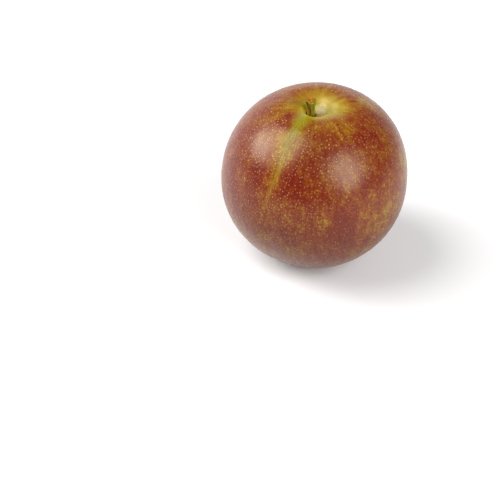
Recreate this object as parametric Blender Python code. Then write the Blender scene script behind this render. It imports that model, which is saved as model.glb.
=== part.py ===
"""A whole pluot, standing on its blossom end, with the short stub of stem that it was picked with.

The fruit grew as one piece, so it is one solid: a slightly flattened ball with a stem cavity on
top, a suture down one side from the cavity to the blossom end, and a small flat spot to rest on.
The stem is a second solid, rooted in a plain hole at the bottom of the cavity.

Units are metres, +Z is up and the surface it stands on is z = 0. The fruit's middle is on the Z
axis, and -Y is the side that is seen first. Polar angles run from the stem end, 0, to the blossom
end, pi. Turns run about +Z from +X.
"""

import math

import bmesh
import bpy
from mathutils import Vector

MM = 0.001

# Fruit body
EQUATOR_RADIUS = 32.4 * MM
CROWN_REACH = 31.9 * MM  # from the middle up to the stem end, before the cavity is pressed in
CROWN_SQUARENESS = 2.18  # 2 is an ellipse, and more is squarer at the shoulder
BASE_REACH = 31.1 * MM
BASE_SQUARENESS = 2.07
SHOULDER_LIFT = 0.012  # one shoulder stands higher than the other by this share of the radius
SHOULDER_TURN = math.radians(16)

# Suture, the shallow furrow down one side
SUTURE_TURN = math.radians(239)
SUTURE_DEPTH = 0.32 * MM
SUTURE_HALF_WIDTH = 3.2 * MM
SUTURE_CREST_DEPTH = 0.7 * MM  # what it gains where it runs over the shoulder into the cavity
SUTURE_CREST_POLAR = math.radians(19)
SUTURE_CREST_SPREAD = math.radians(11)
SUTURE_END_FADE = 1.5  # a higher power keeps the furrow further from both ends
CHEEK_SWELL = 0.28 * MM  # the flesh stands fuller on either side of the furrow
CHEEK_TURN = math.radians(24)

# Stem cavity: a wide funnel with a small steep pit in its middle
CAVITY_PLACE = (-0.35 * MM, -0.5 * MM)
FUNNEL_DEPTH = 3.75 * MM
FUNNEL_RADIUS = 10.2 * MM
PIT_DEPTH = 1.6 * MM
PIT_RADIUS = 3.85 * MM
PIT_STEEPNESS = 6.0
FLUTES = 5  # soft folds that run down the funnel
FLUTE_DEPTH = 0.16 * MM
FLUTE_TURN = math.radians(57)

# Blossom end: a flat spot with the dimple of the fallen flower in its middle
FOOT_RADIUS = 7.0 * MM
DIMPLE_RADIUS = 2.4 * MM
DIMPLE_DEPTH = 0.8 * MM
MIDDLE_HEIGHT = BASE_REACH * (
    1 - (FOOT_RADIUS / EQUATOR_RADIUS) ** BASE_SQUARENESS
) ** (1 / BASE_SQUARENESS)

# Stem
STEM_PLACE = (-1.9 * MM, -1.1 * MM)  # it grew a little off the middle of the cavity
STEM_ROOT_RADIUS = 1.55 * MM
STEM_WAIST_RADIUS = 1.2 * MM
STEM_TIP_RADIUS = 1.83 * MM
STEM_WAIST_SHARE = 0.45  # how far up the waist is
STEM_LENGTH = 6.2 * MM  # above the bottom of the cavity
STEM_ROOT_LENGTH = 2.0 * MM  # below it
STEM_LEAN = -0.25 * MM  # along X at the tip
STEM_BEND = 0.1 * MM
STEM_RIBS = 7
STEM_RIB_HEIGHT = 0.08  # as a share of the stem's radius
STEM_TWIST = math.radians(35)
TIP_CUP_DEPTH = 0.55 * MM  # the hollow of the torn tip
TIP_CUP_SHARE = 0.66
TIP_LIP_SHARE = 0.84
TIP_BEVEL = 0.25 * MM
TIP_RAGGEDNESS = 0.22 * MM
TIP_TEARS = ((2, 1.0, 1.0), (5, 0.5, 0.0))  # waves around the rim: how many, how high, from where
HOLE_GAP = 0.3 * MM
HOLE_RADIUS = STEM_ROOT_RADIUS * (1 + STEM_RIB_HEIGHT) + HOLE_GAP
HOLE_POLAR = math.asin(HOLE_RADIUS / CROWN_REACH)

# Facets
FRUIT_SEGMENTS = 72
CAVITY_RINGS = 16
BODY_RINGS = 26
CAVITY_POLAR = math.radians(27)
SHIFT_SPREAD = math.radians(13)  # how far the rings about the stem keep its place off the middle
DIMPLE_RINGS = 3
STEM_SEGMENTS = 42
STEM_RINGS = 10


def bell(offset, spread):
    """1 at no offset, falling smoothly to nothing a few spreads away."""
    return math.exp(-((offset / spread) ** 2))


def turn_between(turn, other):
    """The signed angle from one turn to the other, within half a circle."""
    return (turn - other + math.pi) % (2 * math.pi) - math.pi


def plain_radius(polar):
    """Distance from the fruit's middle to its surface, before the suture and the cavity."""
    reach, squareness = CROWN_REACH, CROWN_SQUARENESS
    if polar > math.pi / 2:
        reach, squareness = BASE_REACH, BASE_SQUARENESS
    across = math.sin(polar) / EQUATOR_RADIUS
    along = abs(math.cos(polar)) / reach
    return (across**squareness + along**squareness) ** (-1 / squareness)


def suture_depth(polar, turn):
    """How far the skin lies in, at the furrow, or out, on the cheeks beside it."""
    away = abs(turn_between(turn, SUTURE_TURN))
    arc = away * EQUATOR_RADIUS * math.sin(polar)
    crest = SUTURE_CREST_DEPTH * bell(polar - SUTURE_CREST_POLAR, SUTURE_CREST_SPREAD)
    furrow = (SUTURE_DEPTH + crest) * bell(arc, SUTURE_HALF_WIDTH)
    cheeks = CHEEK_SWELL * bell(away - 2 * CHEEK_TURN, CHEEK_TURN)
    return (furrow - cheeks) * math.sin(polar) ** SUTURE_END_FADE


def cavity_depth(x, y):
    """How far the stem cavity is pressed in at a point of the crown."""
    x, y = x - CAVITY_PLACE[0], y - CAVITY_PLACE[1]
    out = math.hypot(x, y)
    folds = math.cos(FLUTES * (math.atan2(y, x) - FLUTE_TURN))
    pit = PIT_DEPTH * math.exp(-((out / PIT_RADIUS) ** PIT_STEEPNESS))
    funnel = FUNNEL_DEPTH * bell(out, FUNNEL_RADIUS)
    return pit + funnel + FLUTE_DEPTH * folds * bell(out - FUNNEL_RADIUS, FUNNEL_RADIUS / 2)


def skin_point(polar, turn):
    """The point of the fruit's skin at a polar angle and a turn."""
    lift = SHOULDER_LIFT * max(math.sin(2 * polar), 0) * math.cos(turn - SHOULDER_TURN)
    radius = plain_radius(polar) * (1 + lift) - suture_depth(polar, turn)
    shift = bell(max(polar - HOLE_POLAR, 0), SHIFT_SPREAD)
    x = radius * math.sin(polar) * math.cos(turn) + STEM_PLACE[0] * shift
    y = radius * math.sin(polar) * math.sin(turn) + STEM_PLACE[1] * shift
    z = radius * math.cos(polar) + MIDDLE_HEIGHT
    if polar < math.pi / 2:
        z -= cavity_depth(x, y)
    return Vector((x, y, z))


def turns(segments):
    return [2 * math.pi * i / segments for i in range(segments)]


def flat_ring(radius, height, segments):
    return [Vector((radius * math.cos(a), radius * math.sin(a), height)) for a in turns(segments)]


def fruit_rings():
    """Rings of the fruit's points, from the bottom of the stem's hole to the blossom end."""
    foot_polar = math.pi - math.atan2(FOOT_RADIUS, MIDDLE_HEIGHT)
    polars = [HOLE_POLAR + (CAVITY_POLAR - HOLE_POLAR) * i / CAVITY_RINGS for i in range(CAVITY_RINGS)]
    polars += [CAVITY_POLAR + (foot_polar - CAVITY_POLAR) * i / BODY_RINGS for i in range(BODY_RINGS)]
    skin = [[skin_point(polar, turn) for turn in turns(FRUIT_SEGMENTS)] for polar in polars]
    hole_floor = [Vector((p.x, p.y, hole_bottom())) for p in skin[0]]
    blossom = [flat_ring(FOOT_RADIUS, 0, FRUIT_SEGMENTS)]
    for i in range(DIMPLE_RINGS):
        share = 1 - i / DIMPLE_RINGS
        height = DIMPLE_DEPTH * math.cos(share * math.pi / 2) ** 2
        blossom.append(flat_ring(DIMPLE_RADIUS * share, height, FRUIT_SEGMENTS))
    return [hole_floor, *skin, *blossom]


def cavity_floor():
    """Height of the skin at the bottom of the cavity, where the stem comes out."""
    return skin_point(0, 0).z


def hole_bottom():
    return cavity_floor() - STEM_ROOT_LENGTH - HOLE_GAP


def stem_radius(share):
    """The stem's radius, from 0 at the bottom of the cavity to 1 at the tip: waisted, then flared."""
    if share < STEM_WAIST_SHARE:
        narrowing = math.sin(math.pi / 2 * share / STEM_WAIST_SHARE)
        return STEM_ROOT_RADIUS + (STEM_WAIST_RADIUS - STEM_ROOT_RADIUS) * narrowing
    above = (share - STEM_WAIST_SHARE) / (1 - STEM_WAIST_SHARE)
    return STEM_WAIST_RADIUS + (STEM_TIP_RADIUS - STEM_WAIST_RADIUS) * above**2 * (3 - 2 * above)


def stem_point(height, turn, inset=1.0):
    """A point of the stem's ribbed side, or inside it where inset is under 1."""
    share = min(max(height / STEM_LENGTH, 0), 1)
    ribs = STEM_RIB_HEIGHT * math.cos(STEM_RIBS * turn + STEM_TWIST * share)
    radius = stem_radius(share) * (1 + ribs) * inset
    bend = STEM_BEND * math.sin(math.pi * share)
    x = STEM_PLACE[0] + STEM_LEAN * share + bend + radius * math.cos(turn)
    y = STEM_PLACE[1] + bend + radius * math.sin(turn)
    return Vector((x, y, cavity_floor() + height))


def tip_tear(turn):
    """How far the torn rim of the stem stands above or below its length at a turn."""
    return TIP_RAGGEDNESS * sum(size * math.sin(count * turn + start) for count, size, start in TIP_TEARS)


def stem_rings():
    """Rings of the stem's points, from its torn tip down to its root."""
    around = turns(STEM_SEGMENTS)
    cup_height = STEM_LENGTH - TIP_CUP_DEPTH
    cup = [stem_point(cup_height, a, TIP_CUP_SHARE / 2) for a in around]
    cup_wall = [stem_point(cup_height, a, TIP_CUP_SHARE) for a in around]
    lip = [stem_point(STEM_LENGTH + tip_tear(a), a, TIP_LIP_SHARE) for a in around]
    rim = [stem_point(STEM_LENGTH - TIP_BEVEL + tip_tear(a), a) for a in around]
    side = []
    for i in range(1, STEM_RINGS):
        height = (STEM_LENGTH - TIP_BEVEL) * (1 - i / (STEM_RINGS - 1))
        side.append([stem_point(height, a) for a in around])
    root = [stem_point(-STEM_ROOT_LENGTH, a) for a in around]
    return [cup, cup_wall, lip, rim, *side, root]


def middle_of(ring):
    return sum(ring, Vector()) / len(ring)


def closed_mesh(name, rings):
    """A closed mesh that joins rings of as many points each, with a fan of faces over each end."""
    bm = bmesh.new()
    loops = [[bm.verts.new(point) for point in ring] for ring in rings]
    count = len(rings[0])
    for upper, lower in zip(loops, loops[1:]):
        for i in range(count):
            after = (i + 1) % count
            bm.faces.new((upper[i], lower[i], lower[after], upper[after]))
    for ring, loop in ((rings[0], loops[0]), (rings[-1], loops[-1])):
        pole = bm.verts.new(middle_of(ring))
        for i in range(count):
            bm.faces.new((pole, loop[i], loop[(i + 1) % count]))
    bmesh.ops.recalc_face_normals(bm, faces=bm.faces)
    mesh = bpy.data.meshes.new(name)
    bm.to_mesh(mesh)
    bm.free()
    return mesh


def plain_material(name, colour, roughness):
    material = bpy.data.materials.new(name)
    material.use_nodes = True
    shader = material.node_tree.nodes["Principled BSDF"]
    shader.inputs["Base Color"].default_value = (*colour, 1)
    shader.inputs["Roughness"].default_value = roughness
    shader.inputs["Metallic"].default_value = 0
    return material


def add_object(name, rings, material, smooth_to_deg):
    mesh = closed_mesh(name, rings)
    mesh.materials.append(material)
    mesh.shade_smooth()
    mesh.set_sharp_from_angle(angle=math.radians(smooth_to_deg))
    body = bpy.data.objects.new(name, mesh)
    bpy.context.scene.collection.objects.link(body)


def main():
    for old in list(bpy.data.objects):
        bpy.data.objects.remove(old)
    skin = plain_material("mottled_skin", (0.30, 0.09, 0.04), 0.4)
    bark = plain_material("green_stem", (0.13, 0.13, 0.03), 0.7)
    add_object("fruit", fruit_rings(), skin, smooth_to_deg=50)
    add_object("stem", stem_rings(), bark, smooth_to_deg=50)


main()
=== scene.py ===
"""A whole pluot, picked with its short torn stub of stem and stood on its blossom end.

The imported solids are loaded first. Then come the picture's camera, table and light, and after them
the fruit as it grew: the skin with its cavity, suture and colours, the pale dots on the skin, and
the stem. Lengths are metres, +Z is up, and the fruit's middle stands over the origin.
"""

import math

import bpy
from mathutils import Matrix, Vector


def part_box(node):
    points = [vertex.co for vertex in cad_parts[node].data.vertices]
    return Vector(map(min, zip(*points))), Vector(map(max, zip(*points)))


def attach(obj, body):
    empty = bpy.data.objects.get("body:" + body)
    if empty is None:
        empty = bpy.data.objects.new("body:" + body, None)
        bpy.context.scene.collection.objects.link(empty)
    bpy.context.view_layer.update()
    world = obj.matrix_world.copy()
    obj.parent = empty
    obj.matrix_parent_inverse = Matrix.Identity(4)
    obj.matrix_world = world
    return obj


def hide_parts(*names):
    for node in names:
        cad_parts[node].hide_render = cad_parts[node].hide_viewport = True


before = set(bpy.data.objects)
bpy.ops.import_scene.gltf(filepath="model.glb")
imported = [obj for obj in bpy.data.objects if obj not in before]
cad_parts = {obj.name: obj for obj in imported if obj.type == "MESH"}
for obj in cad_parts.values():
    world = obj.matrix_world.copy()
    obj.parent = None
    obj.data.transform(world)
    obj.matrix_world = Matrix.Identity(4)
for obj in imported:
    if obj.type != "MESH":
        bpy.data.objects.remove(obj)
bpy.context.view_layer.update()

# The picture. A camera on a stand looks down on the fruit from in front, with a long lens. The
# picture is square, 500 pixels each way, and the fruit sits right of its middle and high up.
MM = 0.001
FRAME_PX = 500
FOCAL_PX = 1424.8
FRUIT_PX = (314.3, 176.4)
FRUIT_MIDDLE = Vector((0, 0, 30.46 * MM))
CAMERA_DISTANCE = 0.5
CAMERA_PITCH = math.radians(39.5)
SENSOR_WIDTH = 36.0

camera_data = bpy.data.cameras.new("camera")
camera_data.sensor_width = SENSOR_WIDTH
camera_data.lens = FOCAL_PX / FRAME_PX * SENSOR_WIDTH
camera = bpy.data.objects.new("camera", camera_data)
bpy.context.scene.collection.objects.link(camera)
ahead = Vector((0, math.cos(CAMERA_PITCH), -math.sin(CAMERA_PITCH)))
upward = Vector((0, math.sin(CAMERA_PITCH), math.cos(CAMERA_PITCH)))
sideways = Vector((1, 0, 0))
off_axis = sideways * (FRUIT_PX[0] - FRAME_PX / 2) + upward * (FRAME_PX / 2 - FRUIT_PX[1])
to_fruit = (ahead + off_axis / FOCAL_PX).normalized()
camera.location = FRUIT_MIDDLE - to_fruit * CAMERA_DISTANCE
camera.rotation_mode = "QUATERNION"
camera.rotation_quaternion = ahead.to_track_quat("-Z", "Y")
bpy.context.scene.camera = camera

# The studio. The fruit stands on a smooth white table that runs on out of the picture, in a dim room
# with a pale wall behind the table, left of its middle. A large softbox stands on the left and a
# weaker one in front on the right, each with a brighter middle, and all are turned to the fruit.
TABLE_HALF_WIDTH = 1.6
TABLE_WHITE = (0.75, 0.747, 0.747, 1)
TABLE_ROUGHNESS = 0.55
OVERHEAD_STRENGTH = 0.14
BACKDROP_STRENGTH = 1.3
BACKDROP_AZIMUTH = math.radians(108)
# Where the wall's light ends at the sides, and how much higher it reaches straight behind. These
# heights are sines of the angle above the horizon.
BACKDROP_EDGES = (-0.28, 0.12)
BACKDROP_RISE = 0.62
LAMP_DISTANCE = 1.0
# Each lamp's azimuth and elevation in degrees, width and height in metres, and power in watts.
LAMPS = (
    ("left softbox", 174, 47.5, 1.06, 1.14, 15.9),
    ("bright middle of the left softbox", 167, 33, 0.46, 0.46, 3.5),
    ("right softbox", -43, 37, 1.05, 1.12, 4.2),
    ("bright middle of the right softbox", -47.5, 34, 0.66, 0.84, 9.6),
)


def feed(tree, value, socket):
    """Feeds a socket with a number, a colour, a name, a Sum or another socket."""
    if isinstance(value, Sum):
        value = value.socket
    if isinstance(value, bpy.types.NodeSocket):
        tree.links.new(value, socket)
    elif socket.type == "RGBA" and len(value) == 3:
        socket.default_value = (*value, 1)
    else:
        socket.default_value = value


def node(tree, kind, feeds=(), **settings):
    """A new node with its settings made and its inputs fed, by their names or numbers."""
    made = tree.nodes.new(kind)
    for name, value in settings.items():
        setattr(made, name, value)
    for name, value in dict(feeds).items():
        feed(tree, value, made.inputs[name])
    return made


class Sum:
    """A number that a node tree works out. Written sums of it become the tree's Math nodes."""

    def __init__(self, tree, socket):
        self.tree = tree
        self.socket = socket

    def work(self, operation, *others):
        terms = enumerate((self, *others))
        return Sum(self.tree, node(self.tree, "ShaderNodeMath", terms, operation=operation).outputs[0])

    def __add__(self, other):
        return self.work("ADD", other)

    def __sub__(self, other):
        return self.work("SUBTRACT", other)

    def __mul__(self, other):
        return self.work("MULTIPLY", other)

    def __truediv__(self, other):
        return self.work("DIVIDE", other)

    def __pow__(self, other):
        return self.work("POWER", other)

    def __rsub__(self, other):
        return (self * -1).work("ADD", other)

    def __abs__(self):
        return self.work("ABSOLUTE")

    __radd__ = __add__
    __rmul__ = __mul__


def between(share, first, second):
    """The first value where the share is 0, and the second where it is 1."""
    return (second - first) * share + first


def ease(value, low, high):
    """Climbs gently from 0 at the low value to 1 at the high one, and stays there."""
    feeds = {"Value": value, "From Min": low, "From Max": high}
    made = node(value.tree, "ShaderNodeMapRange", feeds, interpolation_type="SMOOTHSTEP")
    return Sum(value.tree, made.outputs[0])


def vector_math(tree, operation, first, second=(0, 0, 0)):
    return node(tree, "ShaderNodeVectorMath", {0: first, 1: second}, operation=operation)


def parts_of(tree, vector):
    return [Sum(tree, s) for s in node(tree, "ShaderNodeSeparateXYZ", {0: vector}).outputs]


table_mesh = bpy.data.meshes.new("table")
quarters = ((-1, -1), (1, -1), (1, 1), (-1, 1))
corners = [(x * TABLE_HALF_WIDTH, y * TABLE_HALF_WIDTH, 0) for x, y in quarters]
table_mesh.from_pydata(corners, [], [(0, 1, 2, 3)])
table = bpy.data.objects.new("table", table_mesh)
bpy.context.scene.collection.objects.link(table)
table_paint = bpy.data.materials.new("white table")
table_paint.use_nodes = True
table_shader = table_paint.node_tree.nodes["Principled BSDF"]
table_shader.inputs["Base Color"].default_value = TABLE_WHITE
table_shader.inputs["Roughness"].default_value = TABLE_ROUGHNESS
table_mesh.materials.append(table_paint)

surroundings = bpy.data.worlds.new("surroundings")
surroundings.use_nodes = True
sky = surroundings.node_tree
outlook = node(sky, "ShaderNodeTexCoord").outputs["Generated"]
wall_way = (math.cos(BACKDROP_AZIMUTH), math.sin(BACKDROP_AZIMUTH), 0)
to_wall = Sum(sky, vector_math(sky, "DOT_PRODUCT", outlook, wall_way).outputs["Value"])
above_wall = parts_of(sky, outlook)[2] - to_wall.work("MAXIMUM", 0) ** 2 * BACKDROP_RISE
brightness = between(ease(above_wall, *BACKDROP_EDGES), BACKDROP_STRENGTH, OVERHEAD_STRENGTH)
feed(sky, brightness, sky.nodes["Background"].inputs["Strength"])
sky.nodes["Background"].inputs["Color"].default_value = (1, 1, 1, 1)
bpy.context.scene.world = surroundings

for name, azimuth, elevation, width, height, power in LAMPS:
    azimuth, elevation = math.radians(azimuth), math.radians(elevation)
    level = Vector((math.cos(azimuth), math.sin(azimuth), 0))
    to_lamp = level * math.cos(elevation) + Vector((0, 0, math.sin(elevation)))
    lamp_data = bpy.data.lights.new(name, "AREA")
    lamp_data.shape = "ELLIPSE"
    lamp_data.size = width
    lamp_data.size_y = height
    lamp_data.energy = power
    lamp = bpy.data.objects.new(name, lamp_data)
    bpy.context.scene.collection.objects.link(lamp)
    lamp.location = FRUIT_MIDDLE + to_lamp * LAMP_DISTANCE
    lamp.rotation_mode = "QUATERNION"
    lamp.rotation_quaternion = (-to_lamp).to_track_quat("-Z", "Y")
bpy.context.scene.view_settings.view_transform = "Standard"


# The skin. It is one closed surface: a slightly flattened ball, pressed in around the stem and along
# the suture, with a small flat spot under it to stand on. It grew yellow-green, and where the sun
# reached it, it blushed red-brown, in streaks that run down from the stem and in blotches lower down.
def sin(angle):
    return angle.work("SINE")


def cos(angle):
    return angle.work("COSINE")


def bell(offset, spread):
    """1 at no offset, falling smoothly to nothing a few spreads away."""
    share = offset / spread
    return (share * share * -1).work("EXPONENT")


def length_of(x, y):
    return (x * x + y * y).work("SQRT")


def away_from(place, x, y):
    """How far a point lies from a place, seen from above."""
    return length_of(x - place[0], y - place[1])


def turned_past(turn, other):
    """How far a turn about the stem lies past another one, from half a turn back to half a turn on."""
    past = turn - other
    return sin(past).work("ARCTAN2", cos(past))


def span(value, low, high):
    """Climbs straight from 0 at the low value to 1 at the high one, and stays there."""
    feeds = {"Value": value, "From Min": low, "From Max": high}
    return Sum(value.tree, node(value.tree, "ShaderNodeMapRange", feeds, clamp=True).outputs[0])


def point(x, y, z):
    """A place or a direction put together from its three numbers. At least x is a Sum."""
    return node(x.tree, "ShaderNodeCombineXYZ", enumerate((x, y, z))).outputs[0]


def cloud(tree, place, size, detail=3.0, roughness=0.55):
    """Cloudy noise around 0, seldom past 0.3 either way, in lumps of about the given size."""
    feeds = {"Vector": place, "Scale": 1 / size, "Detail": detail, "Roughness": roughness}
    return Sum(tree, node(tree, "ShaderNodeTexNoise", feeds).outputs[0]) - 0.5


def growth_tree(name, sizes):
    """A Geometry Nodes tree with a named input for each size, what it is given, and the sizes as Sums."""
    tree = bpy.data.node_groups.new(name, "GeometryNodeTree")
    tree.interface.new_socket("Geometry", in_out="INPUT", socket_type="NodeSocketGeometry")
    tree.interface.new_socket("Geometry", in_out="OUTPUT", socket_type="NodeSocketGeometry")
    for label, size in sizes.items():
        kind = "NodeSocketInt" if isinstance(size, int) else "NodeSocketFloat"
        tree.interface.new_socket(label, in_out="INPUT", socket_type=kind)
    given = node(tree, "NodeGroupInput")
    return tree, given.outputs["Geometry"], {label: Sum(tree, given.outputs[label]) for label in sizes}


def hand_out(tree, geometry, material):
    """Ends a growth tree: what it made is smooth, real and of one material."""
    smooth = node(tree, "GeometryNodeSetShadeSmooth", {"Geometry": geometry})
    real = node(tree, "GeometryNodeRealizeInstances", {"Geometry": smooth.outputs[0]})
    dressed = node(tree, "GeometryNodeSetMaterial", {"Geometry": real.outputs[0], "Material": material})
    feed(tree, dressed.outputs[0], node(tree, "NodeGroupOutput").inputs["Geometry"])


def grow(name, tree, sizes, mesh=None):
    """Runs a growth tree at its sizes, on a mesh or on nothing, and keeps the result as a plain mesh."""
    grown = bpy.data.objects.new(name, mesh or bpy.data.meshes.new(name))
    bpy.context.scene.collection.objects.link(grown)
    modifier = grown.modifiers.new("growth", "NODES")
    modifier.node_group = tree
    for socket in tree.interface.items_tree:
        if socket.in_out == "INPUT" and socket.name in sizes:
            modifier[socket.identifier] = sizes[socket.name]
    finished = grown.evaluated_get(bpy.context.evaluated_depsgraph_get())
    plain = bpy.data.meshes.new_from_object(finished)
    grown.modifiers.remove(modifier)
    grown.data = plain
    plain.name = name
    return grown


def wrapped_grid(tree, turns, rings):
    """A sheet of faces to be wrapped round: its mesh, the turn about +Z and the ring of each point."""
    counts = {"Size X": 1.0, "Size Y": 1.0, "Vertices X": turns + 1, "Vertices Y": rings + 1}
    grid = node(tree, "GeometryNodeMeshGrid", counts)
    x, y, _ = parts_of(tree, node(tree, "GeometryNodeInputPosition").outputs[0])
    return grid.outputs["Mesh"], (x + 0.5) * (-2 * math.pi), (y + 0.5) * rings


def closed(tree, mesh, gap=0.001 * MM):
    """The mesh with the two sides of its seam, and the points of its poles, made one."""
    return node(tree, "GeometryNodeMergeByDistance", {"Geometry": mesh, "Distance": gap}).outputs[0]


def noted(tree, mesh, label, value):
    """The mesh with a number written on each point, for its material to read."""
    feeds = {"Geometry": mesh, "Name": label, "Value": value}
    return node(tree, "GeometryNodeStoreNamedAttribute", feeds).outputs[0]


SKIN_SIZES = {
    "Turns": 340,
    "Equator radius": 32.4 * MM,
    "Crown reach": 31.9 * MM,
    "Base reach": 31.1 * MM,
    "Suture depth": 0.32 * MM,
    "Suture crest depth": 0.7 * MM,
    "Suture half width": 3.2 * MM,
    "Cheek swell": 0.28 * MM,
    "Funnel depth": 3.75 * MM,
    "Funnel radius": 10.2 * MM,
    "Pit depth": 1.6 * MM,
    "Pit radius": 3.85 * MM,
    "Flute depth": 0.16 * MM,
    "Dimple radius": 2.4 * MM,
    "Dimple depth": 0.8 * MM,
    "Dent depth": 0.14 * MM,
    "Wax thickness": 0.07 * MM,
}
CROWN_SQUARENESS = 2.18
BASE_SQUARENESS = 2.07
SHOULDER_LIFT = 0.012
SHOULDER_TURN = math.radians(16)
SUTURE_TURN = math.radians(239)
SUTURE_CREST_POLAR = math.radians(19)
SUTURE_CREST_SPREAD = math.radians(11)
SUTURE_END_FADE = 1.5
CHEEK_TURN = math.radians(24)
CAVITY_PLACE = (-0.35 * MM, -0.5 * MM)
PIT_STEEPNESS = 6.0
FLUTES = 5
FLUTE_TURN = math.radians(57)
STEM_PLACE = (-1.9 * MM, -1.1 * MM)
SHIFT_SPREAD = math.radians(13)
SOCKET_RADIUS = 1.78 * MM
SOCKET_DEPTH = 2.2 * MM
SOCKET_POLAR = math.asin(SOCKET_RADIUS / SKIN_SIZES["Crown reach"])
CAVITY_POLAR = math.radians(27)
FOOT_POLAR = math.radians(166)
SOCKET_RINGS = 4
CAVITY_RINGS = 92
BODY_RINGS = 136
FOOT_RINGS = 22
SKIN_RINGS = SOCKET_RINGS + 1 + CAVITY_RINGS + BODY_RINGS + FOOT_RINGS
FLAT_BLEND = 0.35 * MM
DENT_SIZE = 9 * MM
RIPPLE_SIZE = 2.6 * MM
RIPPLE_SHARE = 0.2
WAX_PLACE = (0.4 * MM, 0.2 * MM)
WAX_RADIUS = 2.95 * MM
WAX_EDGE = 0.12 * MM
WAX_SCALLOP = 1.6 * MM
WAX_RAGGEDNESS = 1.3 * MM


def wax_patch(tree, x, y):
    """1 on the pale corky film that covers the floor of the cavity on one side, and 0 off it."""
    ragged = away_from(WAX_PLACE, x, y) + cloud(tree, point(x, y, 0), WAX_SCALLOP) * WAX_RAGGEDNESS
    return 1 - ease(ragged, WAX_RADIUS - WAX_EDGE, WAX_RADIUS + WAX_EDGE)


tree, _, size = growth_tree("pluot skin", SKIN_SIZES)
sheet, turn, ring = wrapped_grid(tree, size["Turns"], SKIN_RINGS)
cavity_start = SOCKET_RINGS + 1
body_start = cavity_start + CAVITY_RINGS
foot_start = body_start + BODY_RINGS
polar = (
    span(ring, 0, SOCKET_RINGS) * SOCKET_POLAR
    + span(ring, cavity_start, body_start) * (CAVITY_POLAR - SOCKET_POLAR)
    + span(ring, body_start, foot_start) * (FOOT_POLAR - CAVITY_POLAR)
    + span(ring, foot_start, SKIN_RINGS) * (math.pi - FOOT_POLAR)
)
outward = sin(polar).work("MAXIMUM", 0)
below = polar.work("GREATER_THAN", math.pi / 2)
reach = between(below, size["Crown reach"], size["Base reach"])
squareness = between(below, CROWN_SQUARENESS, BASE_SQUARENESS)
across = outward / size["Equator radius"]
along = abs(cos(polar)) / reach
plain_radius = (across**squareness + along**squareness) ** (squareness ** -1 * -1)
lift = sin(polar * 2).work("MAXIMUM", 0) * cos(turn - SHOULDER_TURN) * SHOULDER_LIFT

suture_side = turned_past(turn, SUTURE_TURN)
suture_arc = suture_side * size["Equator radius"] * outward
crest = size["Suture crest depth"] * bell(polar - SUTURE_CREST_POLAR, SUTURE_CREST_SPREAD)
furrow = (size["Suture depth"] + crest) * bell(suture_arc, size["Suture half width"])
cheeks = size["Cheek swell"] * bell(abs(suture_side) - 2 * CHEEK_TURN, CHEEK_TURN)
on_ball = point(outward * cos(turn), outward * sin(turn), cos(polar))
dents = (
    cloud(tree, on_ball, DENT_SIZE / SKIN_SIZES["Equator radius"])
    + cloud(tree, on_ball, RIPPLE_SIZE / SKIN_SIZES["Equator radius"]) * RIPPLE_SHARE
    + 0.5
) * size["Dent depth"]
radius = plain_radius * (lift + 1) - (furrow - cheeks) * outward**SUTURE_END_FADE - dents

shift = bell((polar - SOCKET_POLAR).work("MAXIMUM", 0), SHIFT_SPREAD)
x = radius * outward * cos(turn) + shift * STEM_PLACE[0]
y = radius * outward * sin(turn) + shift * STEM_PLACE[1]
z = radius * cos(polar) + FRUIT_MIDDLE.z

from_cavity_x = x - CAVITY_PLACE[0]
from_cavity_y = y - CAVITY_PLACE[1]
from_cavity = length_of(from_cavity_x, from_cavity_y)
folds = cos((from_cavity_y.work("ARCTAN2", from_cavity_x) - FLUTE_TURN) * FLUTES)
pit = size["Pit depth"] * ((from_cavity / size["Pit radius"]) ** PIT_STEEPNESS * -1).work("EXPONENT")
funnel = size["Funnel depth"] * bell(from_cavity, size["Funnel radius"])
flutes = size["Flute depth"] * folds * bell(from_cavity - size["Funnel radius"], size["Funnel radius"] / 2)
film = size["Wax thickness"] * wax_patch(tree, x, y)
cavity = (pit + funnel + flutes - film) * (1 - below)
socket = (1 - span(ring, SOCKET_RINGS, SOCKET_RINGS + 1)) * SOCKET_DEPTH
dimple = size["Dimple depth"] * bell(length_of(x, y), size["Dimple radius"]) * below
stood = (z - cavity - socket).work("SMOOTH_MAX", 0, FLAT_BLEND) + dimple
wrapped = node(tree, "GeometryNodeSetPosition", {"Geometry": sheet, "Position": point(x, y, stood)})

# The skin's colours follow from the place on the fruit alone. How ripe it is, from 0 to 1, picks the
# colour from pale yellow-green to deep red-brown. Patterns and marks make it riper or greener. Laid over
# it are the shades of the suture and the cavity, painted light and painted highlights in the cavity, and
# painted shade low on the fruit. Angles are in degrees: edges are where a change starts and ends, and a
# range is a middle and a spread.
RIPENING = (
    (0.00, (0.385, 0.300, 0.100)),
    (0.20, (0.262, 0.184, 0.014)),
    (0.40, (0.214, 0.104, 0.005)),
    (0.60, (0.170, 0.047, 0.004)),
    (0.78, (0.145, 0.019, 0.004)),
    (1.00, (0.112, 0.008, 0.003)),
)


def past_angle(angle, low, high):
    """Climbs gently from 0 at the low angle to 1 at the high one, both given in degrees."""
    return ease(angle, math.radians(low), math.radians(high))


def near_angle(angle, middle, spread):
    """1 at the middle angle, falling to nothing a few spreads away, both given in degrees."""
    return bell(angle - math.radians(middle), math.radians(spread))


def along_angle(angle, low, high):
    """Climbs straight from 0 at the low angle to 1 at the high one, both given in degrees."""
    return span(angle, math.radians(low), math.radians(high))


def cells(tree, place, size):
    """How far each place is from the nearest of many scattered points, as a share of their spacing."""
    return Sum(tree, node(tree, "ShaderNodeTexVoronoi", {"Vector": place, "Scale": 1 / size}).outputs[0])


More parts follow.
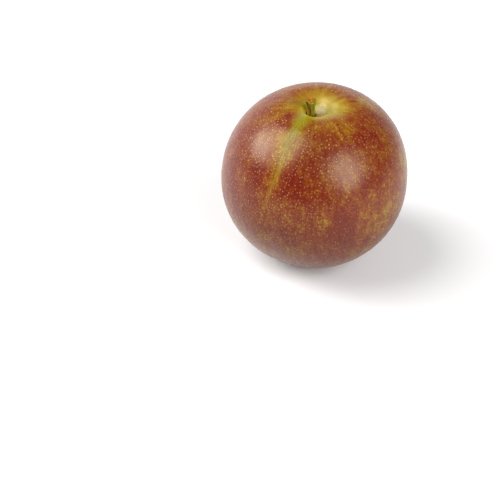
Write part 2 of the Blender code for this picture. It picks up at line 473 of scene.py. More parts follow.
def drawn_out(around, down, counts, detail=3.0, roughness=0.55):
    """Cloudy noise drawn out along an axis, with so many lumps to a radian round it and to 1 down it."""
    across, along = around
    round_count, down_count = counts
    place = point(across * round_count, along * round_count, down * down_count)
    return cloud(across.tree, place, 1, detail, roughness)


def patterned(strengths):
    """The skin's patterns added together, each at its own strength."""
    return sum(patterns[name] * strength for name, strength in strengths.items())


def mix(tree, share, first, second, blend="MIX"):
    """The second colour laid over the first by a share."""
    feeds = {0: share, 6: first, 7: second}
    return node(tree, "ShaderNodeMix", feeds, data_type="RGBA", blend_type=blend).outputs[2]


def ramp(tree, share, stops):
    """A colour that changes along its stops, each a share from 0 to 1 and a colour."""
    made = node(tree, "ShaderNodeValToRGB", {0: share})
    elements = made.color_ramp.elements
    for at, _ in stops[1:-1]:
        elements.new(at)
    for element, (at, colour) in zip(elements, stops):
        element.position = at
        element.color = (*colour, 1)
    return made.outputs[0]


def mark(tree, direction, polar, turn, half_width, half_length):
    """1 in the middle of a mark, falling to nothing around it, by the direction from the fruit's middle."""
    polar, turn = math.radians(polar), math.radians(turn)
    ball = SKIN_SIZES["Equator radius"] / MM
    outward = Vector((math.sin(polar) * math.cos(turn), math.sin(polar) * math.sin(turn), math.cos(polar)))
    sideways = Vector((-math.sin(turn), math.cos(turn), 0)) * (ball / half_width)
    downward = outward.cross(sideways) * (half_width / half_length)
    in_front, to_side, down = [
        Sum(tree, vector_math(tree, "DOT_PRODUCT", direction, way).outputs["Value"])
        for way in (outward, sideways, downward)
    ]
    return bell(length_of(to_side, down), 1) * in_front.work("GREATER_THAN", 0)


colours = bpy.data.node_groups.new("pluot skin colours", "ShaderNodeTree")
colours.interface.new_socket("Color", in_out="OUTPUT", socket_type="NodeSocketColor")
colours.interface.new_socket("Wax", in_out="OUTPUT", socket_type="NodeSocketFloat")
place = node(colours, "ShaderNodeTexCoord").outputs["Object"]
x, y, z = parts_of(colours, place)
from_axis = length_of(x, y)
turn = y.work("ARCTAN2", x)
polar = from_axis.work("ARCTAN2", z - FRUIT_MIDDLE.z)
upper = z.work("GREATER_THAN", FRUIT_MIDDLE.z)

# Lumpy patterns: the size of the lumps, and their detail. Streaky ones: how many go to a radian round
# the stem and how many lumps to a radian down from it, and their detail.
LUMPY = {"blotches": (9 * MM, 2), "mottle": (2.2 * MM, 3), "grain": (0.7 * MM, 2)}
STREAKY = {"streaks": ((9, 3), 3), "strands": ((17, 6), 3), "hairs": ((34, 7), 2)}
# The drifts are equally strong everywhere. The spots are weaker near the stem and on the left.
DRIFT_STRENGTHS = {"blotches": 0.9, "streaks": 0.4, "strands": 0.5, "hairs": 0.4}
SPOT_STRENGTHS = {"mottle": 0.5, "grain": 0.75}
SPOTTED_AT_STEM, SPOTTED_EDGES = 0.4, (20, 50)
CALM_ON_LEFT, CALM_EDGES = 0.35, (0.2, 0.7)
FLECK_SIZE, FLECK_EDGES, FLECK_STRENGTH = 1.25 * MM, (0.12, 0.5), 0.2
RIPENESS = 0.78
GREENER_AT_STEM, STEM_END_EDGES = 0.2, (16, 42)

patterns = {}
for name, (lump_size, detail) in LUMPY.items():
    patterns[name] = cloud(colours, place, lump_size, detail)
for name, (counts, detail) in STREAKY.items():
    patterns[name] = drawn_out((x / from_axis, y / from_axis), polar, counts, detail)

flecks = 1 - ease(cells(colours, place, FLECK_SIZE), *FLECK_EDGES)
to_left = span(x / -SKIN_SIZES["Equator radius"], *CALM_EDGES)
spotted = between(past_angle(polar, *SPOTTED_EDGES), SPOTTED_AT_STEM, 1) * (1 - to_left * CALM_ON_LEFT)
spots = (patterned(SPOT_STRENGTHS) - flecks * FLECK_STRENGTH) * spotted
at_stem = 1 - past_angle(polar, *STEM_END_EDGES)
ripeness = spots + patterned(DRIFT_STRENGTHS) + RIPENESS - at_stem * GREENER_AT_STEM

# Marks, from the stem down: the angle from the stem and the turn about it, half the width and half
# the length down the fruit in millimetres, and how much riper the skin is there. The broad ones
# wander at their edges.
WANDER_SIZE = 3 * MM
WANDER_REACH = 5 * MM
FINE_STREAKS = (
    (18.5, 304.8, 0.45, 1.7, 0.26),
    (22.5, 13, 0.45, 2.6, 0.30),
    (22.8, 301.5, 0.5, 1.7, 0.30),
    (24, 88, 0.5, 4.2, -0.26),
    (25, 70, 0.5, 3.0, -0.20),
    (26, 297, 0.4, 1.8, -0.20),
    (27.2, 298.2, 0.45, 1.8, 0.26),
    (29, 312, 0.5, 3.2, -0.20),
    (32, 295, 0.45, 2.4, -0.20),
)
RIPER_PATCHES = (
    (21, 208, 1.8, 2.4, 0.28),
    (24, 322, 3.0, 3.0, 0.16),
    (25, 222, 2.8, 2.8, 0.22),
    (30, 216, 2.6, 2.4, 0.16),
    (35, 179, 2.2, 3.0, 0.12),
    (36, 317, 1.0, 2.2, 0.28),
    (41, 281, 3.2, 3.4, 0.10),
    (42, 257, 3.6, 5.0, 0.05),
    (43, 212, 4.0, 4.0, 0.10),
    (46, 327, 1.2, 1.4, 0.28),
    (48, 336, 6.0, 5.0, 0.05),
    (51, 267, 2.4, 5.0, 0.14),
    (55, 192, 4.0, 6.0, 0.22),
    (59, 224, 3.4, 4.0, 0.14),
    (61, 302, 1.4, 2.6, 0.18),
    (62, 252, 4.0, 6.0, 0.22),
    (66, 326, 4.0, 7.0, 0.10),
    (69, 300, 1.4, 2.6, 0.18),
    (71, 226, 4.6, 6.0, 0.26),
    (71, 277, 2.4, 4.4, 0.14),
    (78, 204, 8.0, 9.0, 0.16),
    (80, 286, 3.0, 4.4, 0.22),
    (88, 289, 5.5, 9.0, 0.26),
    (99, 285, 2.6, 3.6, 0.16),
)
GREENER_PATCHES = (
    (17, 180, 2.0, 2.5, -0.12),
    (19, 184, 2.4, 2.4, -0.14),
    (23, 288, 2.2, 3.0, -0.10),
    (27, 314, 2.0, 3.0, -0.11),
    (28, 196, 5.0, 4.0, -0.15),
    (28.5, 300, 1.8, 3.0, -0.16),
    (32, 14, 4.0, 4.0, -0.22),
    (33, 160, 6.0, 5.0, -0.10),
    (33, 293, 3.0, 3.5, -0.14),
    (37, 253, 3.0, 3.4, -0.22),
    (38, 224, 3.0, 4.0, -0.20),
    (40, 322, 5.0, 6.0, -0.08),
    (42, 24, 5.0, 6.0, -0.12),
    (62, 279, 1.6, 5.0, -0.10),
    (67, 287, 1.2, 2.2, -0.10),
    (70, 306, 2.4, 2.6, -0.18),
    (82, 345, 7.0, 16.0, -0.22),
    (84.5, 304, 2.2, 2.6, -0.24),
    (95, 315, 8.0, 11.0, -0.15),
    (100, 308, 12.0, 10.0, -0.08),
)

wander = node(colours, "ShaderNodeTexNoise", {"Vector": place, "Scale": 1 / WANDER_SIZE, "Detail": 3.0})
wander = vector_math(colours, "SUBTRACT", wander.outputs["Color"], (0.5, 0.5, 0.5)).outputs[0]
wander = vector_math(colours, "MULTIPLY", wander, (WANDER_REACH,) * 3).outputs[0]
straight = vector_math(colours, "SUBTRACT", place, FRUIT_MIDDLE).outputs[0]
wandering = vector_math(colours, "ADD", straight, wander).outputs[0]
straight = vector_math(colours, "NORMALIZE", straight).outputs[0]
wandering = vector_math(colours, "NORMALIZE", wandering).outputs[0]
for marks, direction in ((FINE_STREAKS, straight), (RIPER_PATCHES + GREENER_PATCHES, wandering)):
    for *where, riper in marks:
        ripeness = ripeness + mark(colours, direction, *where) * riper

# Low on the fruit no fleck gets greener than this, and the grain shows more.
LOW_EDGES = (50, 80)
LEAST_RIPENESS, LEAST_BLEND = (-0.16, 0.30), 0.16
LOW_GRAIN_STRENGTH = 0.35

lower = past_angle(polar, *LOW_EDGES)
ripeness = ripeness.work("SMOOTH_MAX", between(lower, *LEAST_RIPENESS), LEAST_BLEND)
ripeness = ripeness + patterns["grain"] * lower * LOW_GRAIN_STRENGTH

# The yellow fan round the stem is palest on the right. It has a notch at the back right, and there on
# the cavity's wall a paler patch that is a painted highlight.
YELLOW_PLACE = (1.0 * MM, 1.2 * MM)
YELLOW_TURN = math.radians(3)
YELLOW_EDGES = (4.5 * MM, 13.0 * MM)
YELLOW_WANDER = {"streaks": 1.8 * MM, "strands": 1.2 * MM, "mottle": 2.0 * MM}
YELLOW_NOTCH_RANGE, YELLOW_NOTCH_DEPTH = (40, 24), 2.6 * MM
YELLOW_RIPENESS = 0.36
YELLOW_HEART_RANGE, YELLOW_HEART_PALER = (0, 58), 0.31
YELLOW_STRENGTHS = {"hairs": 0.08, "streaks": 0.1, "mottle": 0.14}
WALL_PAINTED_HIGHLIGHT, WALL_PAINTED_HIGHLIGHT_SPREAD, WALL_PAINTED_HIGHLIGHT_PALER = (2.6 * MM, 4.0 * MM), 1.7 * MM, 0.2

yellow_side = turned_past(turn, YELLOW_TURN)
from_yellow = away_from(YELLOW_PLACE, x, y) + patterned(YELLOW_WANDER)
from_yellow = from_yellow + near_angle(yellow_side, *YELLOW_NOTCH_RANGE) * YELLOW_NOTCH_DEPTH
yellow = (1 - ease(from_yellow, *YELLOW_EDGES)) * upper
unripe = YELLOW_RIPENESS - near_angle(yellow_side, *YELLOW_HEART_RANGE) * YELLOW_HEART_PALER
unripe = unripe + patterned(YELLOW_STRENGTHS)
# Painted highlight: paler skin on the cavity's far wall on the right.
unripe = unripe - bell(away_from(WALL_PAINTED_HIGHLIGHT, x, y), WALL_PAINTED_HIGHLIGHT_SPREAD) * WALL_PAINTED_HIGHLIGHT_PALER
ripeness = between(yellow, ripeness, unripe)

# The suture's line, which bends near the stem and again low down, is greener where it starts and
# ripens on its way down. Beside it the skin is streaked with green.
SUTURE_OFFSET = math.radians(1)
STEM_END_BEND_RANGE, STEM_END_BEND_TURN = (10, 14), math.radians(9.5)
LOW_BEND_EDGES, LOW_BEND_TURN = (56, 80), math.radians(4)
SUTURE_WANDER = {"mottle": 2.0 * MM, "streaks": 2.0 * MM, "strands": 2.4 * MM, "hairs": 2.0 * MM}
SUTURE_WIDTHS, SUTURE_WIDTH_EDGES = (2.0 * MM, 1.4 * MM), (20, 70)
SUTURE_STRENGTHS, SUTURE_FADE_EDGES = (0.9, 0.3), (50, 100)
SUTURE_RIPENESS, SUTURE_RIPENESS_EDGES = (0.1, 0.6), (22, 85)
SUTURE_PATTERN = {"mottle": 0.4, "hairs": 0.9, "strands": 0.5}
BESIDE_ARC, BESIDE_SPREAD = -2.8 * MM, 2.6 * MM
BESIDE_START_EDGES, BESIDE_END_EDGES = (24, 36), (60, 84)
BESIDE_GREENER = 0.2
BESIDE_PATTERN = {"strands": 0.9, "hairs": 0.5}

suture_turn = SUTURE_TURN + SUTURE_OFFSET - near_angle(polar, *STEM_END_BEND_RANGE) * STEM_END_BEND_TURN
suture_turn = suture_turn - past_angle(polar, *LOW_BEND_EDGES) * LOW_BEND_TURN
suture_arc = turned_past(turn, suture_turn) * from_axis + patterned(SUTURE_WANDER)
suture_width = between(along_angle(polar, *SUTURE_WIDTH_EDGES), *SUTURE_WIDTHS)
suture = bell(suture_arc, suture_width)
suture = suture * between(past_angle(polar, *SUTURE_FADE_EDGES), *SUTURE_STRENGTHS)
suture_ripeness = between(along_angle(polar, *SUTURE_RIPENESS_EDGES), *SUTURE_RIPENESS)
suture_ripeness = suture_ripeness + patterned(SUTURE_PATTERN)
beside = bell(suture_arc - BESIDE_ARC, BESIDE_SPREAD) * past_angle(polar, *BESIDE_START_EDGES)
beside = beside * (1 - past_angle(polar, *BESIDE_END_EDGES))
ripeness = ripeness - beside * (patterned(BESIDE_PATTERN) + BESIDE_GREENER)
ripeness = between(suture, ripeness, suture_ripeness)

# The shades of the suture, and a dusky mark beside it.
SUTURE_SHADE = (0.55, 0.54, 0.30)
SUTURE_SHADE_RANGE = (25, 26)
DUSKY = (0.84, 0.97, 1.0)
DUSKY_MARK = (39, 267, 10, 9)
SUTURE_GREEN = (0.185, 0.165, 0.001)
SUTURE_GREEN_ARC, SUTURE_GREEN_SPREAD = 0.9 * MM, 2.3 * MM
SUTURE_GREEN_RANGE, SUTURE_GREEN_STRENGTH = (17, 9), 0.85

suture_shade = suture * near_angle(polar, *SUTURE_SHADE_RANGE)
dusk = mark(colours, straight, *DUSKY_MARK)
suture_green = bell(suture_arc - SUTURE_GREEN_ARC, SUTURE_GREEN_SPREAD) * SUTURE_GREEN_STRENGTH
suture_green = suture_green * near_angle(polar, *SUTURE_GREEN_RANGE)

# The cavity is greener in a ring inside it and along its front lip. Painted light, yellow, brightens
# the shade on the left of the stem, and a painted cream highlight lies behind the stem on the right.
PIT_GREEN = (0.235, 0.19, 0.001)
PIT_RING, PIT_RING_SPREAD, PIT_RING_STRENGTH = 4.2 * MM, 1.6 * MM, 0.7
LIP_RING, LIP_RING_SPREAD, LIP_RING_STRENGTH = 5.4 * MM, 1.2 * MM, 0.75
LIP_FRONT_EDGES = (1.5 * MM, 5 * MM)
# Painted light: a yellow brightening of the stem's shade on the pit's left wall.
PIT_PAINTED_LIGHT = (0.50, 0.38, 0.003)
PIT_PAINTED_LIGHT_PLACE, PIT_PAINTED_LIGHT_SPREAD = (-3.5 * MM, 0), 1.7 * MM
# A painted highlight, cream, on the cavity's far wall on the right.
FAR_PAINTED_HIGHLIGHT = (0.46, 0.31, 0.10)
FAR_PAINTED_HIGHLIGHT_PLACE, FAR_PAINTED_HIGHLIGHT_SPREAD, FAR_PAINTED_HIGHLIGHT_STRENGTH = (2.6 * MM, 4.4 * MM), 1.9 * MM, 0.6

from_cavity = away_from(CAVITY_PLACE, x, y)
pit_green = bell(from_cavity - PIT_RING, PIT_RING_SPREAD) * upper * PIT_RING_STRENGTH
lip_green = bell(from_cavity - LIP_RING, LIP_RING_SPREAD) * upper * LIP_RING_STRENGTH
lip_green = lip_green * ease(y * -1, *LIP_FRONT_EDGES)
# Painted light on the pit's left wall, in the stem's shade.
pit_painted_light = bell(away_from(PIT_PAINTED_LIGHT_PLACE, x, y), PIT_PAINTED_LIGHT_SPREAD) * upper
# Painted highlight on the cavity's far wall.
far_painted_highlight = bell(away_from(FAR_PAINTED_HIGHLIGHT_PLACE, x, y), FAR_PAINTED_HIGHLIGHT_SPREAD) * upper * FAR_PAINTED_HIGHLIGHT_STRENGTH

# The corky film is clouded beige, and browner in front.
WAX_BEIGE = (0.33, 0.28, 0.12)
WAX_SHADE = (0.29, 0.22, 0.09)
WAX_SHADE_SIZE, WAX_SHADE_EDGES = 1.1 * MM, (-0.2, 0.2)
WAX_BROWN = (0.40, 0.19, 0.06)
WAX_BROWN_EDGES, WAX_BROWN_WANDER = (-2.4 * MM, 0), 1 * MM

wax = wax_patch(colours, x, y) * upper
wax_clouds = span(cloud(colours, place, WAX_SHADE_SIZE), *WAX_SHADE_EDGES)
wax_browning = 1 - ease(y + patterns["mottle"] * WAX_BROWN_WANDER, *WAX_BROWN_EDGES)
wax_colour = mix(colours, wax_browning, mix(colours, wax_clouds, WAX_BEIGE, WAX_SHADE), WAX_BROWN)

# Low on the fruit the skin is darker with painted shade, and the brown scar of the fallen flower lies in
# its middle.
UNDERSIDE_PAINTED_SHADE = (0.72, 0.68, 0.62)
UNDERSIDE_PAINTED_SHADE_EDGES, UNDERSIDE_PAINTED_SHADE_STRENGTH = (72, 116), 0.9
SCAR_BROWN = (0.11, 0.05, 0.02)
SCAR_RADIUS = 1.1 * MM

# Painted shade, darkening the skin from below the middle down.
underside_painted_shade = past_angle(polar, *UNDERSIDE_PAINTED_SHADE_EDGES) * UNDERSIDE_PAINTED_SHADE_STRENGTH
scar = bell(from_axis, SCAR_RADIUS) * (1 - upper)

skin_colour = ramp(colours, ripeness, RIPENING)
for share, shade, blend in (
    (suture_shade, SUTURE_SHADE, "MULTIPLY"),
    (dusk, DUSKY, "MULTIPLY"),
    (suture_green, SUTURE_GREEN, "MIX"),
    (pit_green, PIT_GREEN, "MIX"),
    (lip_green, PIT_GREEN, "MIX"),
    # painted light in the stem's shade
    (pit_painted_light, PIT_PAINTED_LIGHT, "MIX"),
    # painted highlight on the far wall
    (far_painted_highlight, FAR_PAINTED_HIGHLIGHT, "MIX"),
    (wax, wax_colour, "MIX"),
    # painted shade low on the fruit
    (underside_painted_shade, UNDERSIDE_PAINTED_SHADE, "MULTIPLY"),
    (scar, SCAR_BROWN, "MIX"),
):
    skin_colour = mix(colours, share, skin_colour, shade, blend)
node(colours, "NodeGroupOutput", {"Color": skin_colour, "Wax": wax})

# The skin's satin finish: a fine orange peel on wider lumps, with a thin bloom. The film is duller.
PEEL_SIZE, PEEL_ROUGHER = 0.45 * MM, 0.1
LUMP_SIZE, LUMP_ROUGHER, LUMP_RELIEF = 1.6 * MM, 0.12, 2
RELIEF, RELIEF_STRENGTH = 0.06 * MM, 0.25
SKIN_ROUGHNESS = 0.29
WAX_ROUGHER = 0.3
SKIN_IOR = 1.40
SKIN_GLOSS_TINT = (1.0, 0.96, 0.7, 1)


def new_material(name):
    """A material with its tree and its shader."""
    material = bpy.data.materials.new(name)
    material.use_nodes = True
    return material, material.node_tree, material.node_tree.nodes["Principled BSDF"]


def skin_finish(tree, shader, wax):
    """The satin, slightly bloomed skin with its fine orange peel."""
    place = node(tree, "ShaderNodeTexCoord").outputs["Object"]
    peel = cloud(tree, place, PEEL_SIZE, detail=2.0)
    lumps = cloud(tree, place, LUMP_SIZE, detail=2.0)
    roughness = peel * PEEL_ROUGHER + lumps * LUMP_ROUGHER + wax * WAX_ROUGHER + SKIN_ROUGHNESS
    bump = {"Strength": RELIEF_STRENGTH, "Distance": RELIEF, "Height": peel + lumps * LUMP_RELIEF}
    feed(tree, roughness, shader.inputs["Roughness"])
    feed(tree, node(tree, "ShaderNodeBump", bump).outputs[0], shader.inputs["Normal"])
    shader.inputs["IOR"].default_value = SKIN_IOR
    shader.inputs["Specular Tint"].default_value = SKIN_GLOSS_TINT


skin_material, paint, shader = new_material("mottled skin")
painted = node(paint, "ShaderNodeGroup", node_tree=colours)
feed(paint, painted.outputs["Color"], shader.inputs["Base Color"])
skin_finish(paint, shader, Sum(paint, painted.outputs["Wax"]))

hand_out(tree, closed(tree, wrapped.outputs[0]), skin_material)
skin = grow("skin", tree, SKIN_SIZES)
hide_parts("fruit")
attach(skin, "root")

# The dots. A pluot's skin is freckled all over with pale corky pores, each a low bump the width of a
# pinprick with a redder ring around it. They lie closer together and fainter low on the fruit.
DOT_SIZES = {
    "Sides": 6,
    "Radius": 0.30 * MM,
    "Ring radius": 0.52 * MM,
    "Height": 0.03 * MM,
    "Ring drop": 0.006 * MM,
    "Least gap": 0.74 * MM,
    "Most per square metre": 0.95e6,
}
DOT_SEED = 11
DOT_EDGE_HEIGHT = 0.55
DOT_SEAM_GAP = 0.0001 * MM
LEAST_DOT_WIDTH = 0.6
MOST_DOT_STRETCH = 0.9
STRETCH_RARITY = 3

# How thickly the dots lie, as a share of the most to a square metre, and where there are more or none.
# Angles down from the stem are in degrees, and places to the side are shares of the fruit's half width.
CROWDING, CROWDING_EDGES = (0.38, 0.74), (16, 50)
MORE_LOW_RIGHT, LOW_RIGHT_EDGES = 0.3, (60, 96)
MORE_AT_SIDES, SIDE_EDGES = 0.3, (0.2, 0.7)
MORE_ON_LEFT = 0.3
MORE_AT_CAVITY, CAVITY_EDGES = 0.1, (28, 44)
LEFT_OR_RIGHT_EDGES = (0, 0.6)
BARE_CAVITY_EDGES = (6.5 * MM, 10 * MM)
BARE_FOOT_EDGES = (0.1 * MM, 1.2 * MM)

# A dot's tone runs from 0, cream and plain to see, to 1, pink and faint. Its edges and its ring are
# given on a scale that is 1 in the dot's middle, a half at its rim and 0 at the ring's outer edge.
DOT_TONES = (0.27, 0.96)
FAINTER_LOW, FAINTER_LOW_RIGHT, FADING_EDGES = 0.2, 0.15, (42, 70)
FAINTER_RIGHT = 0.12
PLAINER_LEFT = 0.22
PLAINER_AT_CAVITY = 0.2
DOT_CREAM = (0.53, 0.36, 0.12)
DOT_PINK = (0.53, 0.29, 0.14)
DOT_COVER = (0.72, 0.26)
DOT_RING_TINT = (0.62, 0.34, 0.30)
DOT_RING_AT, DOT_RING_SPREAD, DOT_RING_STRENGTH = 0.4, 0.17, 0.6
DOT_EDGES = (0.35, 1)


def random_number(tree, low, high, seed):
    feeds = {2: low, 3: high, 8: seed}
    return Sum(tree, node(tree, "FunctionNodeRandomValue", feeds, data_type="FLOAT").outputs[1])


tree, given_mesh, size = growth_tree("pluot dots", DOT_SIZES)
x, y, z = parts_of(tree, node(tree, "GeometryNodeInputPosition").outputs[0])
polar = length_of(x, y).work("ARCTAN2", z - FRUIT_MIDDLE.z)
to_right = span(x / SKIN_SIZES["Equator radius"], *LEFT_OR_RIGHT_EDGES)
to_left = span(x / -SKIN_SIZES["Equator radius"], *LEFT_OR_RIGHT_EDGES)
near_cavity = 1 - past_angle(polar, *CAVITY_EDGES)
crowding = between(past_angle(polar, *CROWDING_EDGES), *CROWDING)
crowding = crowding + past_angle(polar, *LOW_RIGHT_EDGES) * to_right * MORE_LOW_RIGHT
crowding = crowding + span(abs(x) / SKIN_SIZES["Equator radius"], *SIDE_EDGES) * MORE_AT_SIDES
crowding = crowding + to_left * MORE_ON_LEFT + near_cavity * MORE_AT_CAVITY
off_cavity = ease(away_from(CAVITY_PLACE, x, y), *BARE_CAVITY_EDGES)
off_foot = ease(z, *BARE_FOOT_EDGES)
scattering = node(tree, "GeometryNodeDistributePointsOnFaces", {
    "Mesh": given_mesh,
    "Distance Min": size["Least gap"],
    "Density Max": size["Most per square metre"],
    "Density Factor": crowding * off_cavity * off_foot,
    "Seed": DOT_SEED,
}, distribute_method="POISSON")
low = past_angle(polar, *FADING_EDGES)
fading = low * (to_right * FAINTER_LOW_RIGHT + FAINTER_LOW) + to_right * FAINTER_RIGHT
tone = random_number(tree, *DOT_TONES, DOT_SEED + 1) + fading
tone = tone - to_left * PLAINER_LEFT - near_cavity * PLAINER_AT_CAVITY
points = noted(tree, scattering.outputs["Points"], "tone", tone)

# The first ring of faces is the dot itself, and the second is the redder skin around it.
sheet, turn, ring = wrapped_grid(tree, size["Sides"], 2)
on_dot, on_ring = span(ring, 0, 1), span(ring, 1, 2)
reach = size["Radius"] * on_dot + (size["Ring radius"] - size["Radius"]) * on_ring
rise = size["Height"] * (1 - on_dot * (1 - DOT_EDGE_HEIGHT))
rise = rise - (size["Height"] * DOT_EDGE_HEIGHT + size["Ring drop"]) * on_ring
dome = node(tree, "GeometryNodeSetPosition", {
    "Geometry": noted(tree, sheet, "dot", 1 - ring / 2),
    "Position": point(reach * cos(turn), reach * sin(turn), rise),
})

outwards = {"Vector": scattering.outputs["Normal"]}
upright = node(tree, "FunctionNodeAlignRotationToVector", outwards, axis="Z")
facing_down = node(tree, "FunctionNodeAlignRotationToVector", {
    "Rotation": upright.outputs[0],
    "Vector": (0, 0, -1),
}, axis="Y", pivot_axis="Z")
width = between(random_number(tree, 0, 1, DOT_SEED + 2), LEAST_DOT_WIDTH, 1)
stretch = random_number(tree, 0, 1, DOT_SEED + 3) ** STRETCH_RARITY * MOST_DOT_STRETCH + 1
placed = node(tree, "GeometryNodeInstanceOnPoints", {
    "Points": points,
    "Instance": closed(tree, dome.outputs[0], DOT_SEAM_GAP),
    "Rotation": facing_down.outputs[0],
    "Scale": point(width, width * stretch, 1),
})

dot_material, paint, shader = new_material("dotted skin")
painted = node(paint, "ShaderNodeGroup", node_tree=colours)
dot, tone = [
    Sum(paint, node(paint, "ShaderNodeAttribute", attribute_name=label).outputs["Fac"])
    for label in ("dot", "tone")
]
redness = bell(dot - DOT_RING_AT, DOT_RING_SPREAD) * DOT_RING_STRENGTH
ringed = mix(paint, redness, painted.outputs["Color"], DOT_RING_TINT, "MULTIPLY")
cover = ease(dot, *DOT_EDGES) * between(tone, *DOT_COVER)
dotted = mix(paint, cover, ringed, mix(paint, tone, DOT_CREAM, DOT_PINK))
feed(paint, dotted, shader.inputs["Base Color"])
skin_finish(paint, shader, Sum(paint, painted.outputs["Wax"]))

hand_out(tree, placed.outputs[0], dot_material)
dots = grow("dots", tree, DOT_SIZES, skin.data.copy())
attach(dots, "root")

# The stem. It is a short stub of green and russet wood, waisted and ribbed, rooted in the floor of
# the cavity. It flares to a ragged cup with a frayed orange core, where it tore from the twig.
STEM_SIZES = {
    "Turns": 120,
    "Root radius": 1.55 * MM,
    "Waist radius": 1.2 * MM,
    "Tip radius": 1.83 * MM,
    "Length": 6.2 * MM,
    "Root length": 2.0 * MM,
    "Cup depth": 0.45 * MM,
    "Bevel": 0.25 * MM,
    "Raggedness": 0.22 * MM,
}
STEM_WAIST_SHARE = 0.45
STEM_LEAN = -0.25 * MM
STEM_BEND = 0.1 * MM
STEM_RIBS = 7
STEM_RIB_HEIGHT = 0.08
STEM_TWIST = math.radians(35)
STEM_FIBRE_HEIGHT = 0.16
FIBRE_COUNTS, FIBRE_SINK = (3.2, 2.2), 0.12
KNOT_COUNTS, KNOT_SHARE = (1.2, 5), 0.5
TIP_CUP_SHARE = 0.58
TIP_LIP_SHARE = 0.80
# Waves round the torn lip: how many go round, how high they are and where they start in radians.
TIP_TEARS = ((2, 1.0, 1.0), (5, 0.5, 0.0))
TIP_FRAY = 0.5 * MM
FRAY_COUNT, FRAY_SINK = 3.6, 0.32
CUP_RINGS, WALL_RINGS, BEVEL_RINGS, SIDE_RINGS, ROOT_RINGS = 12, 4, 5, 84, 4
CUP_ROUNDING_RINGS, TORN_EDGE_RINGS, RAGGED_RINGS = 2, 4, 21

stem_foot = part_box("stem")[0].z
cup_end = CUP_RINGS
wall_end = cup_end + WALL_RINGS
bevel_end = wall_end + BEVEL_RINGS
side_end = bevel_end + SIDE_RINGS
stem_rings = side_end + ROOT_RINGS
tree, _, size = growth_tree("pluot stem", STEM_SIZES)
sheet, turn, ring = wrapped_grid(tree, size["Turns"], stem_rings)
inset = (
    span(ring, 0, cup_end) * TIP_CUP_SHARE
    + span(ring, cup_end, wall_end) * (TIP_LIP_SHARE - TIP_CUP_SHARE)
    + span(ring, wall_end, bevel_end) * (1 - TIP_LIP_SHARE)
    - span(ring, side_end, stem_rings)
)
down_side = span(ring, bevel_end, side_end)
height = (
    size["Length"]
    - size["Cup depth"] * (1 - ease(ring, cup_end - CUP_ROUNDING_RINGS, wall_end))
    - size["Bevel"] * ease(ring, wall_end, bevel_end)
    - (size["Length"] - size["Bevel"] + size["Root length"]) * down_side
)
share = span(height / size["Length"], 0, 1)
flare = ease(share, STEM_WAIST_SHARE, 1)
taper = sin(span(share, 0, STEM_WAIST_SHARE) * (math.pi / 2))
radius = (
    size["Root radius"]
    + (size["Waist radius"] - size["Root radius"]) * taper
    + (size["Tip radius"] - size["Waist radius"]) * flare
)
around = (cos(turn), sin(turn))
fibres = drawn_out(around, share, FIBRE_COUNTS, detail=4.0, roughness=0.65)
knots = drawn_out(around, share, KNOT_COUNTS, detail=2.0)
ribs = cos(turn * STEM_RIBS + share * STEM_TWIST) * STEM_RIB_HEIGHT + 1
radius = radius * (ribs + (fibres + knots * KNOT_SHARE - FIBRE_SINK) * STEM_FIBRE_HEIGHT) * inset
bend = sin(share * math.pi) * STEM_BEND
x = radius * around[0] + share * STEM_LEAN + bend + STEM_PLACE[0]
y = radius * around[1] + bend + STEM_PLACE[1]
tears = sum(sin(turn * count + start) * big for count, big, start in TIP_TEARS) * size["Raggedness"]
fray_place = point(inset * around[0] * FRAY_COUNT, inset * around[1] * FRAY_COUNT, 0)
fray = (cloud(tree, fray_place, 1, detail=3.0, roughness=0.7) - FRAY_SINK) * TIP_FRAY
near_tip = 1 - span(ring, bevel_end, bevel_end + RAGGED_RINGS)
stem_z = height + (tears * (inset ** 2) + fray) * near_tip + (stem_foot + STEM_SIZES["Root length"])
wood = noted(tree, sheet, "inset", inset)
wood = noted(tree, wood, "share", share)
wood = noted(tree, wood, "torn", 1 - span(ring, wall_end, wall_end + TORN_EDGE_RINGS))
wood = node(tree, "GeometryNodeSetPosition", {"Geometry": wood, "Position": point(x, y, stem_z)})

# The stem's wood. Each coloured side faces a turn in degrees, and comes in between two cosines of the
# angle off it. Shares run up the stem from 0 at the cavity's floor to 1 at the tip.
GREEN = (0.125, 0.125, 0.001)
BRIGHT_GREEN = (0.20, 0.20, 0.003)
RUSSET = (0.135, 0.055, 0.004)
DARK_RUSSET = (0.06, 0.026, 0.001)
BARK_SHADES = ((0, DARK_RUSSET), (0.3, RUSSET), (0.55, GREEN), (1, BRIGHT_GREEN))
BARK_GREENNESS = 0.14
WOOD_GRAIN_COUNTS, WOOD_GRAIN_GREENNESS = (5, 3), 0.7
SPECKLE_SIZE = 0.35 * MM
GREEN_RIGHT, GREEN_RIGHT_STRENGTH = (335, 0.25, 0.8), 0.5
GREEN_FRONT, GREEN_FRONT_STRENGTH = (258, 0.6, 0.95), 0.5
GREEN_FRONT_START, GREEN_FRONT_WANDER = (0.42, 0.6), 0.2
GREEN_EDGE, GREEN_EDGE_STRENGTH = (350, 0.8, 1), 0.3
BEIGE = (0.29, 0.16, 0.035)
RIDGE_TURN, RIDGE_SPREAD, RIDGE_STRENGTH, RIDGE_START = 288, 0.025, 0.6, (0.1, 0.3)
PALE_LEFT, PALE_LEFT_STRENGTH, PALE_LEFT_END = (205, 0.75, 0.95), 0.7, (0.25, 0.55)
FLAKE_EDGES, FLAKE_STRENGTH, FLAKE_SPECKLE = (0.2, 0.4), 0.25, 0.6
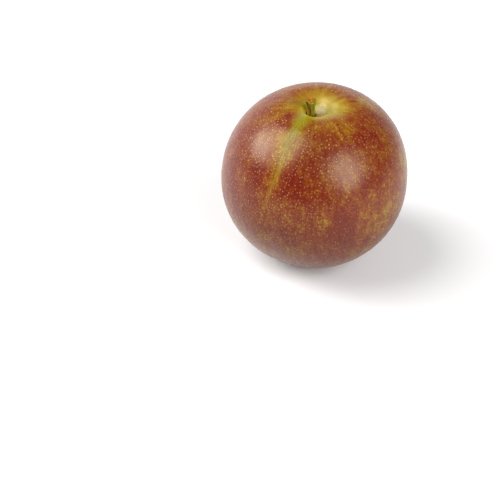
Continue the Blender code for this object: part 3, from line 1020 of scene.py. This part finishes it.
# The root is darker: partly russet wood, partly painted shade where the stem goes into the cavity's floor.
FOOT_RUSSET_AND_SHADE_END, FOOT_RUSSET_AND_SHADE_STRENGTH = 0.16, 0.75
CORE_ORANGE = (0.47, 0.165, 0.002)
CORE_DARK = (0.11, 0.016, 0.001)
CORE_SHADES = ((0.3, CORE_DARK), (0.6, CORE_ORANGE))
CORE_SHADE, CORE_SPECKLE, CORE_GRAIN = 0.42, 2, 0.5
TORN_GREY = (0.21, 0.13, 0.055)
LIP_OLIVE = (0.10, 0.095, 0.002)
OLIVE_RIGHT = (340, 0.0, 0.6)
LIP_EDGES, LIP_SHIFT, LIP_SPECKLE = (0.56, 0.70), 0.22, 0.3
TORN_EDGES, TORN_SPECKLE = (0.3, 0.6), 0.4
WOOD_ROUGHNESS, WOOD_GRAIN_ROUGHER = 0.62, 0.3
WOOD_GLOSS = 0.12
WOOD_RELIEF, WOOD_RELIEF_STRENGTH, WOOD_SPECKLE_RELIEF = 0.12 * MM, 0.6, 0.5

stem_material, paint, shader = new_material("green stem")
place = node(paint, "ShaderNodeTexCoord").outputs["Object"]
x, y, _ = parts_of(paint, place)
inset, share, torn = [
    Sum(paint, node(paint, "ShaderNodeAttribute", attribute_name=label).outputs["Fac"])
    for label in ("inset", "share", "torn")
]
off_x = x - STEM_PLACE[0] - share * STEM_LEAN
off_y = y - STEM_PLACE[1]
off_axis = length_of(off_x, off_y)
across, along = off_x / off_axis, off_y / off_axis
grain = drawn_out((across, along), share, WOOD_GRAIN_COUNTS, detail=4.0, roughness=0.6)
speckle = cloud(paint, place, SPECKLE_SIZE, detail=2.0)


def to_turn(degrees):
    """1 on the side of the stem that looks that way, and -1 on the far side."""
    return across * math.cos(math.radians(degrees)) + along * math.sin(math.radians(degrees))


def facing(degrees, low, high):
    """Comes in from 0 to 1 as the stem's side turns to look that way."""
    return ease(to_turn(degrees), low, high)


in_front = facing(*GREEN_FRONT) * ease(share + grain * GREEN_FRONT_WANDER, *GREEN_FRONT_START)
greenness = (
    facing(*GREEN_RIGHT) * GREEN_RIGHT_STRENGTH
    + in_front * GREEN_FRONT_STRENGTH
    + facing(*GREEN_EDGE) * GREEN_EDGE_STRENGTH
    + grain * WOOD_GRAIN_GREENNESS
    + BARK_GREENNESS
)
ridge = bell(to_turn(RIDGE_TURN) - 1, RIDGE_SPREAD) * RIDGE_STRENGTH * ease(share, *RIDGE_START)
pale_left = facing(*PALE_LEFT) * (1 - ease(share, *PALE_LEFT_END)) * PALE_LEFT_STRENGTH
flakes = span(grain + speckle * FLAKE_SPECKLE, *FLAKE_EDGES) * FLAKE_STRENGTH
# Darker russet and painted shade at the stem's root.
russet_and_painted_shade_foot = (1 - ease(share, 0, FOOT_RUSSET_AND_SHADE_END)) * FOOT_RUSSET_AND_SHADE_STRENGTH
bark = mix(paint, ridge + pale_left + flakes, ramp(paint, greenness, BARK_SHADES), BEIGE)
bark = mix(paint, russet_and_painted_shade_foot, bark, DARK_RUSSET)
core = ramp(paint, speckle * CORE_SPECKLE + grain * CORE_GRAIN + CORE_SHADE, CORE_SHADES)
lip = mix(paint, facing(*OLIVE_RIGHT), TORN_GREY, LIP_OLIVE)
broken = mix(paint, ease(inset - along * LIP_SHIFT + speckle * LIP_SPECKLE, *LIP_EDGES), core, lip)
wood_colour = mix(paint, ease(torn + speckle * TORN_SPECKLE, *TORN_EDGES), bark, broken)
bump = {
    "Strength": WOOD_RELIEF_STRENGTH,
    "Distance": WOOD_RELIEF,
    "Height": grain + speckle * WOOD_SPECKLE_RELIEF,
}
feed(paint, wood_colour, shader.inputs["Base Color"])
feed(paint, grain * WOOD_GRAIN_ROUGHER + WOOD_ROUGHNESS, shader.inputs["Roughness"])
feed(paint, node(paint, "ShaderNodeBump", bump).outputs[0], shader.inputs["Normal"])
shader.inputs["Specular IOR Level"].default_value = WOOD_GLOSS

hand_out(tree, closed(tree, wood.outputs[0]), stem_material)
stem = grow("stub", tree, STEM_SIZES)
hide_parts("stem")
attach(stem, "root")
